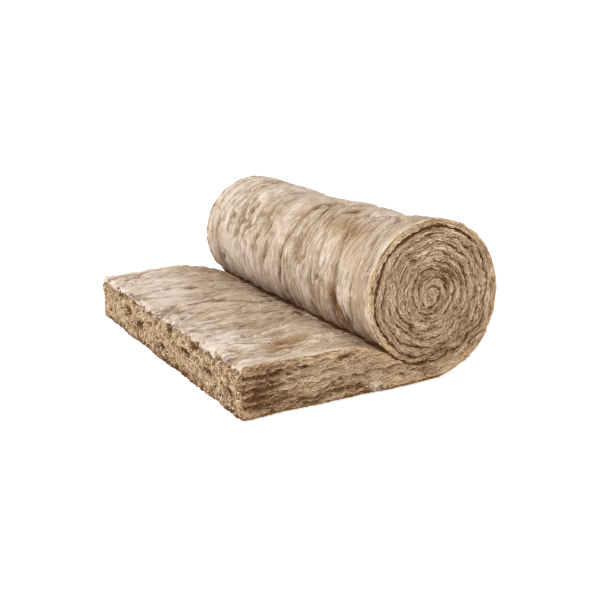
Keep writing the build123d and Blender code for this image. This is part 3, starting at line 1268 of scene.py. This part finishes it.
class WOOL_OT_blanket(bpy.types.Operator):
    """Make the blanket: tail, shoulder, wrap and wound turns in one closed mesh"""

    bl_idname = "wool.blanket"
    bl_label = "Wool Blanket"

    def execute(self, context):
        sizes, colours, _ = settings()
        piece = bpy.data.objects.new("blanket", blanket_mesh(Lay(sizes), sizes))
        context.scene.collection.objects.link(piece)
        relief_tree().applied(piece, {"Material": wool_material(colours)})
        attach(piece, "root")
        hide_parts("wool_blanket")
        return {"FINISHED"}


class WOOL_OT_end_layers(bpy.types.Operator):
    """Lay fibres along the turns and the layers that show on the two ends"""

    bl_idname = "wool.end_layers"
    bl_label = "End Layers"

    def execute(self, context):
        _, colours, _ = settings()
        material = fibre_material("layer_fibres", colours.dark, colours.tan, colours.straw)
        tree = fibre_tree()
        common = {"Where": "end", "Length": 0.018, "Radius": 0.0011, "Lift": 0.005, "Fan": 0.42}
        common |= {"Wave": 0.0014, "Wave Scale": 70.0, "Points": 3, "Tone": 0.48, "Contrast": 1.3}
        for name, low, high, count, seed in (
            ("end_fibres_front", -1.0, 0.0, 49000.0, 1),
            ("end_fibres_back", 0.0, 1.0, 40000.0, 2),
        ):
            values = {"Nearest Y": low, "Furthest Y": high, "Count per Area": count, "Seed": seed}
            comb(name, tree, common | values, material)
        return {"FINISHED"}


class WOOL_OT_cut_fibres(bpy.types.Operator):
    """Stir short curled fibres over the cut end of the tail"""

    bl_idname = "wool.cut_fibres"
    bl_label = "Cut Fibres"

    def execute(self, context):
        _, colours, _ = settings()
        material = fibre_material("cut_fibres", colours.dark, colours.tan, colours.straw)
        values = {"Where": "cut", "Count per Area": 50000.0, "Length": 0.019, "Radius": 0.0012, "Seed": 3}
        values |= {"Lift": 0.006, "Fan": 3.1, "Wave": 0.005, "Wave Scale": 60.0, "Sway": 0.0, "Points": 4}
        values |= {"Tone": 0.38, "Contrast": 1.25, "Cloud Scale": (45.0, 60.0, 90.0)}
        comb("cut_fibres", fibre_tree(), values, material)
        return {"FINISHED"}


class WOOL_OT_skin_wisps(bpy.types.Operator):
    """Draw long fine wisps over the skin, and raise the loose tufts"""

    bl_idname = "wool.skin_wisps"
    bl_label = "Skin Wisps"

    def execute(self, context):
        _, colours, _ = settings()
        tree = fibre_tree()
        material = fibre_material("skin_wisps", colours.skin_brown, colours.skin_pale, colours.fluff)
        wisps = {"Where": "skin", "Count per Area": 1200.0, "Length": 0.080, "Radius": 0.0006, "Lift": 0.003}
        wisps |= {"Fan": 0.45, "Wave": 0.008, "Wave Scale": 14.0, "Sway": 0.0, "Points": 5, "Seed": 5}
        wisps |= {"Tone": 0.62, "Contrast": 0.9, "Cloud Scale": (3.0, 9.0, 9.0), "Stand": 0.09}
        comb("skin_wisps", tree, wisps, material)
        material = fibre_material("tufts", colours.skin_tan, colours.skin_pale, colours.fluff)
        tufts = {"Where": "tuft", "Count per Area": 150000.0, "Length": 0.016, "Radius": 0.0007}
        tufts |= {"Lift": 0.008, "Fan": 3.1, "Wave": 0.006, "Wave Scale": 45.0, "Sway": 0.0, "Points": 5}
        tufts |= {"Tone": 0.85, "Seed": 6}
        comb("tufts", tree, tufts, material)
        return {"FINISHED"}


def lay_floor(scene):
    """A wide pale floor, a little below the roll."""
    mesh = bpy.data.meshes.new("floor")
    far, drop = 9.0, 0.0008
    mesh.from_pydata([(-far, -far, 0), (far, -far, 0), (far, far, 0), (-far, far, 0)], [], [(0, 1, 2, 3)])
    floor = bpy.data.objects.new("floor", mesh)
    floor.location.z = -drop
    scene.collection.objects.link(floor)
    material, _, shader = principled("pale_floor")
    shader["Base Color"].default_value = (0.9, 0.9, 0.9, 1.0)
    shader["Roughness"].default_value = 1.0
    shader["Specular IOR Level"].default_value = 0.0
    shader["Emission Color"].default_value = (1.0, 1.0, 1.0, 1.0)
    shader["Emission Strength"].default_value = 0.45
    mesh.materials.append(material)


def light_studio(scene, stage):
    """A white surround, brighter where the camera sees it, and three soft lamps."""
    world = bpy.data.worlds.new("studio")
    scene.world = world
    world.use_nodes = True
    loom = Loom(world.node_tree)
    background = world.node_tree.nodes["Background"].inputs
    background["Color"].default_value = (1.0, 1.0, 1.0, 1.0)
    in_view = loom.node("ShaderNodeLightPath", None, None, "Is Camera Ray")
    seen = 1.1
    loom.feed(background["Strength"], stage.daylight + in_view * (seen - stage.daylight))

    lit = Vector((0.1, 0, 0.15))
    for name, place, size, share in (
        ("key", (-2.6, -0.3, 2.8), 2.0, 1.0),
        ("fill", (1.0, -3.2, 1.4), 2.5, 0.38),
        ("low", (-3.0, 0.2, 0.7), 1.5, 0.05),
    ):
        data = bpy.data.lights.new(name, "AREA")
        data.size = size
        data.energy = stage.key_power * share
        lamp = bpy.data.objects.new(name, data)
        scene.collection.objects.link(lamp)
        lamp.location = place
        lamp.rotation_euler = (lit - Vector(place)).to_track_quat("-Z", "Y").to_euler()


def aim_camera(scene, stage):
    """The camera at the photograph's viewing angle."""
    level = math.cos(stage.elevation)
    look = (level * math.sin(stage.azimuth), level * math.cos(stage.azimuth), -math.sin(stage.elevation))
    look = Vector(look)
    side = look.cross(Vector((0, 0, 1))).normalized()
    up = side.cross(look)
    lean_side = side * math.cos(stage.roll) + up * math.sin(stage.roll)
    lean_up = up * math.cos(stage.roll) - side * math.sin(stage.roll)
    place = Vector(stage.target) - look * stage.distance
    data = bpy.data.cameras.new("camera")
    data.lens = stage.lens
    data.sensor_width = 36.0
    camera = bpy.data.objects.new("camera", data)
    scene.collection.objects.link(camera)
    axes = Matrix((lean_side, lean_up, -look)).transposed().to_4x4()
    camera.matrix_world = Matrix.Translation(place) @ axes
    scene.camera = camera


class WOOL_OT_stage(bpy.types.Operator):
    """Set the pale floor, the soft lights and the camera"""

    bl_idname = "wool.stage"
    bl_label = "Stage"

    def execute(self, context):
        _, _, stage = settings()
        lay_floor(context.scene)
        light_studio(context.scene, stage)
        aim_camera(context.scene, stage)
        context.scene.view_settings.view_transform = "Standard"
        return {"FINISHED"}


class WOOL_PT_panel(bpy.types.Panel):
    """The sizes, the colours and the steps that make the roll"""

    bl_label = "Mineral Wool Roll"
    bl_idname = "WOOL_PT_panel"
    bl_space_type = "VIEW_3D"
    bl_region_type = "UI"
    bl_category = "Wool Roll"

    def draw(self, context):
        for group in settings():
            box = self.layout.box()
            for name in group.__annotations__:
                box.prop(group, name)
        for step in STEPS:
            self.layout.operator(step.bl_idname)


STEPS = (WOOL_OT_blanket, WOOL_OT_end_layers, WOOL_OT_cut_fibres, WOOL_OT_skin_wisps, WOOL_OT_stage)
GROUPS = {"wool_sizes": WoolSizes, "wool_colours": WoolColours, "wool_stage": WoolStage}


def register():
    for group in (*GROUPS.values(), *STEPS, WOOL_PT_panel):
        bpy.utils.register_class(group)
    for name, group in GROUPS.items():
        setattr(bpy.types.Scene, name, PointerProperty(type=group))


def unregister():
    for name in GROUPS:
        delattr(bpy.types.Scene, name)
    for group in (WOOL_PT_panel, *reversed(STEPS), *GROUPS.values()):
        bpy.utils.unregister_class(group)


def main():
    """Makes every piece and the stage."""
    register()
    for step in STEPS:
        space, name = step.bl_idname.split(".")
        getattr(getattr(bpy.ops, space), name)()


if __name__ == "__main__":
    main()
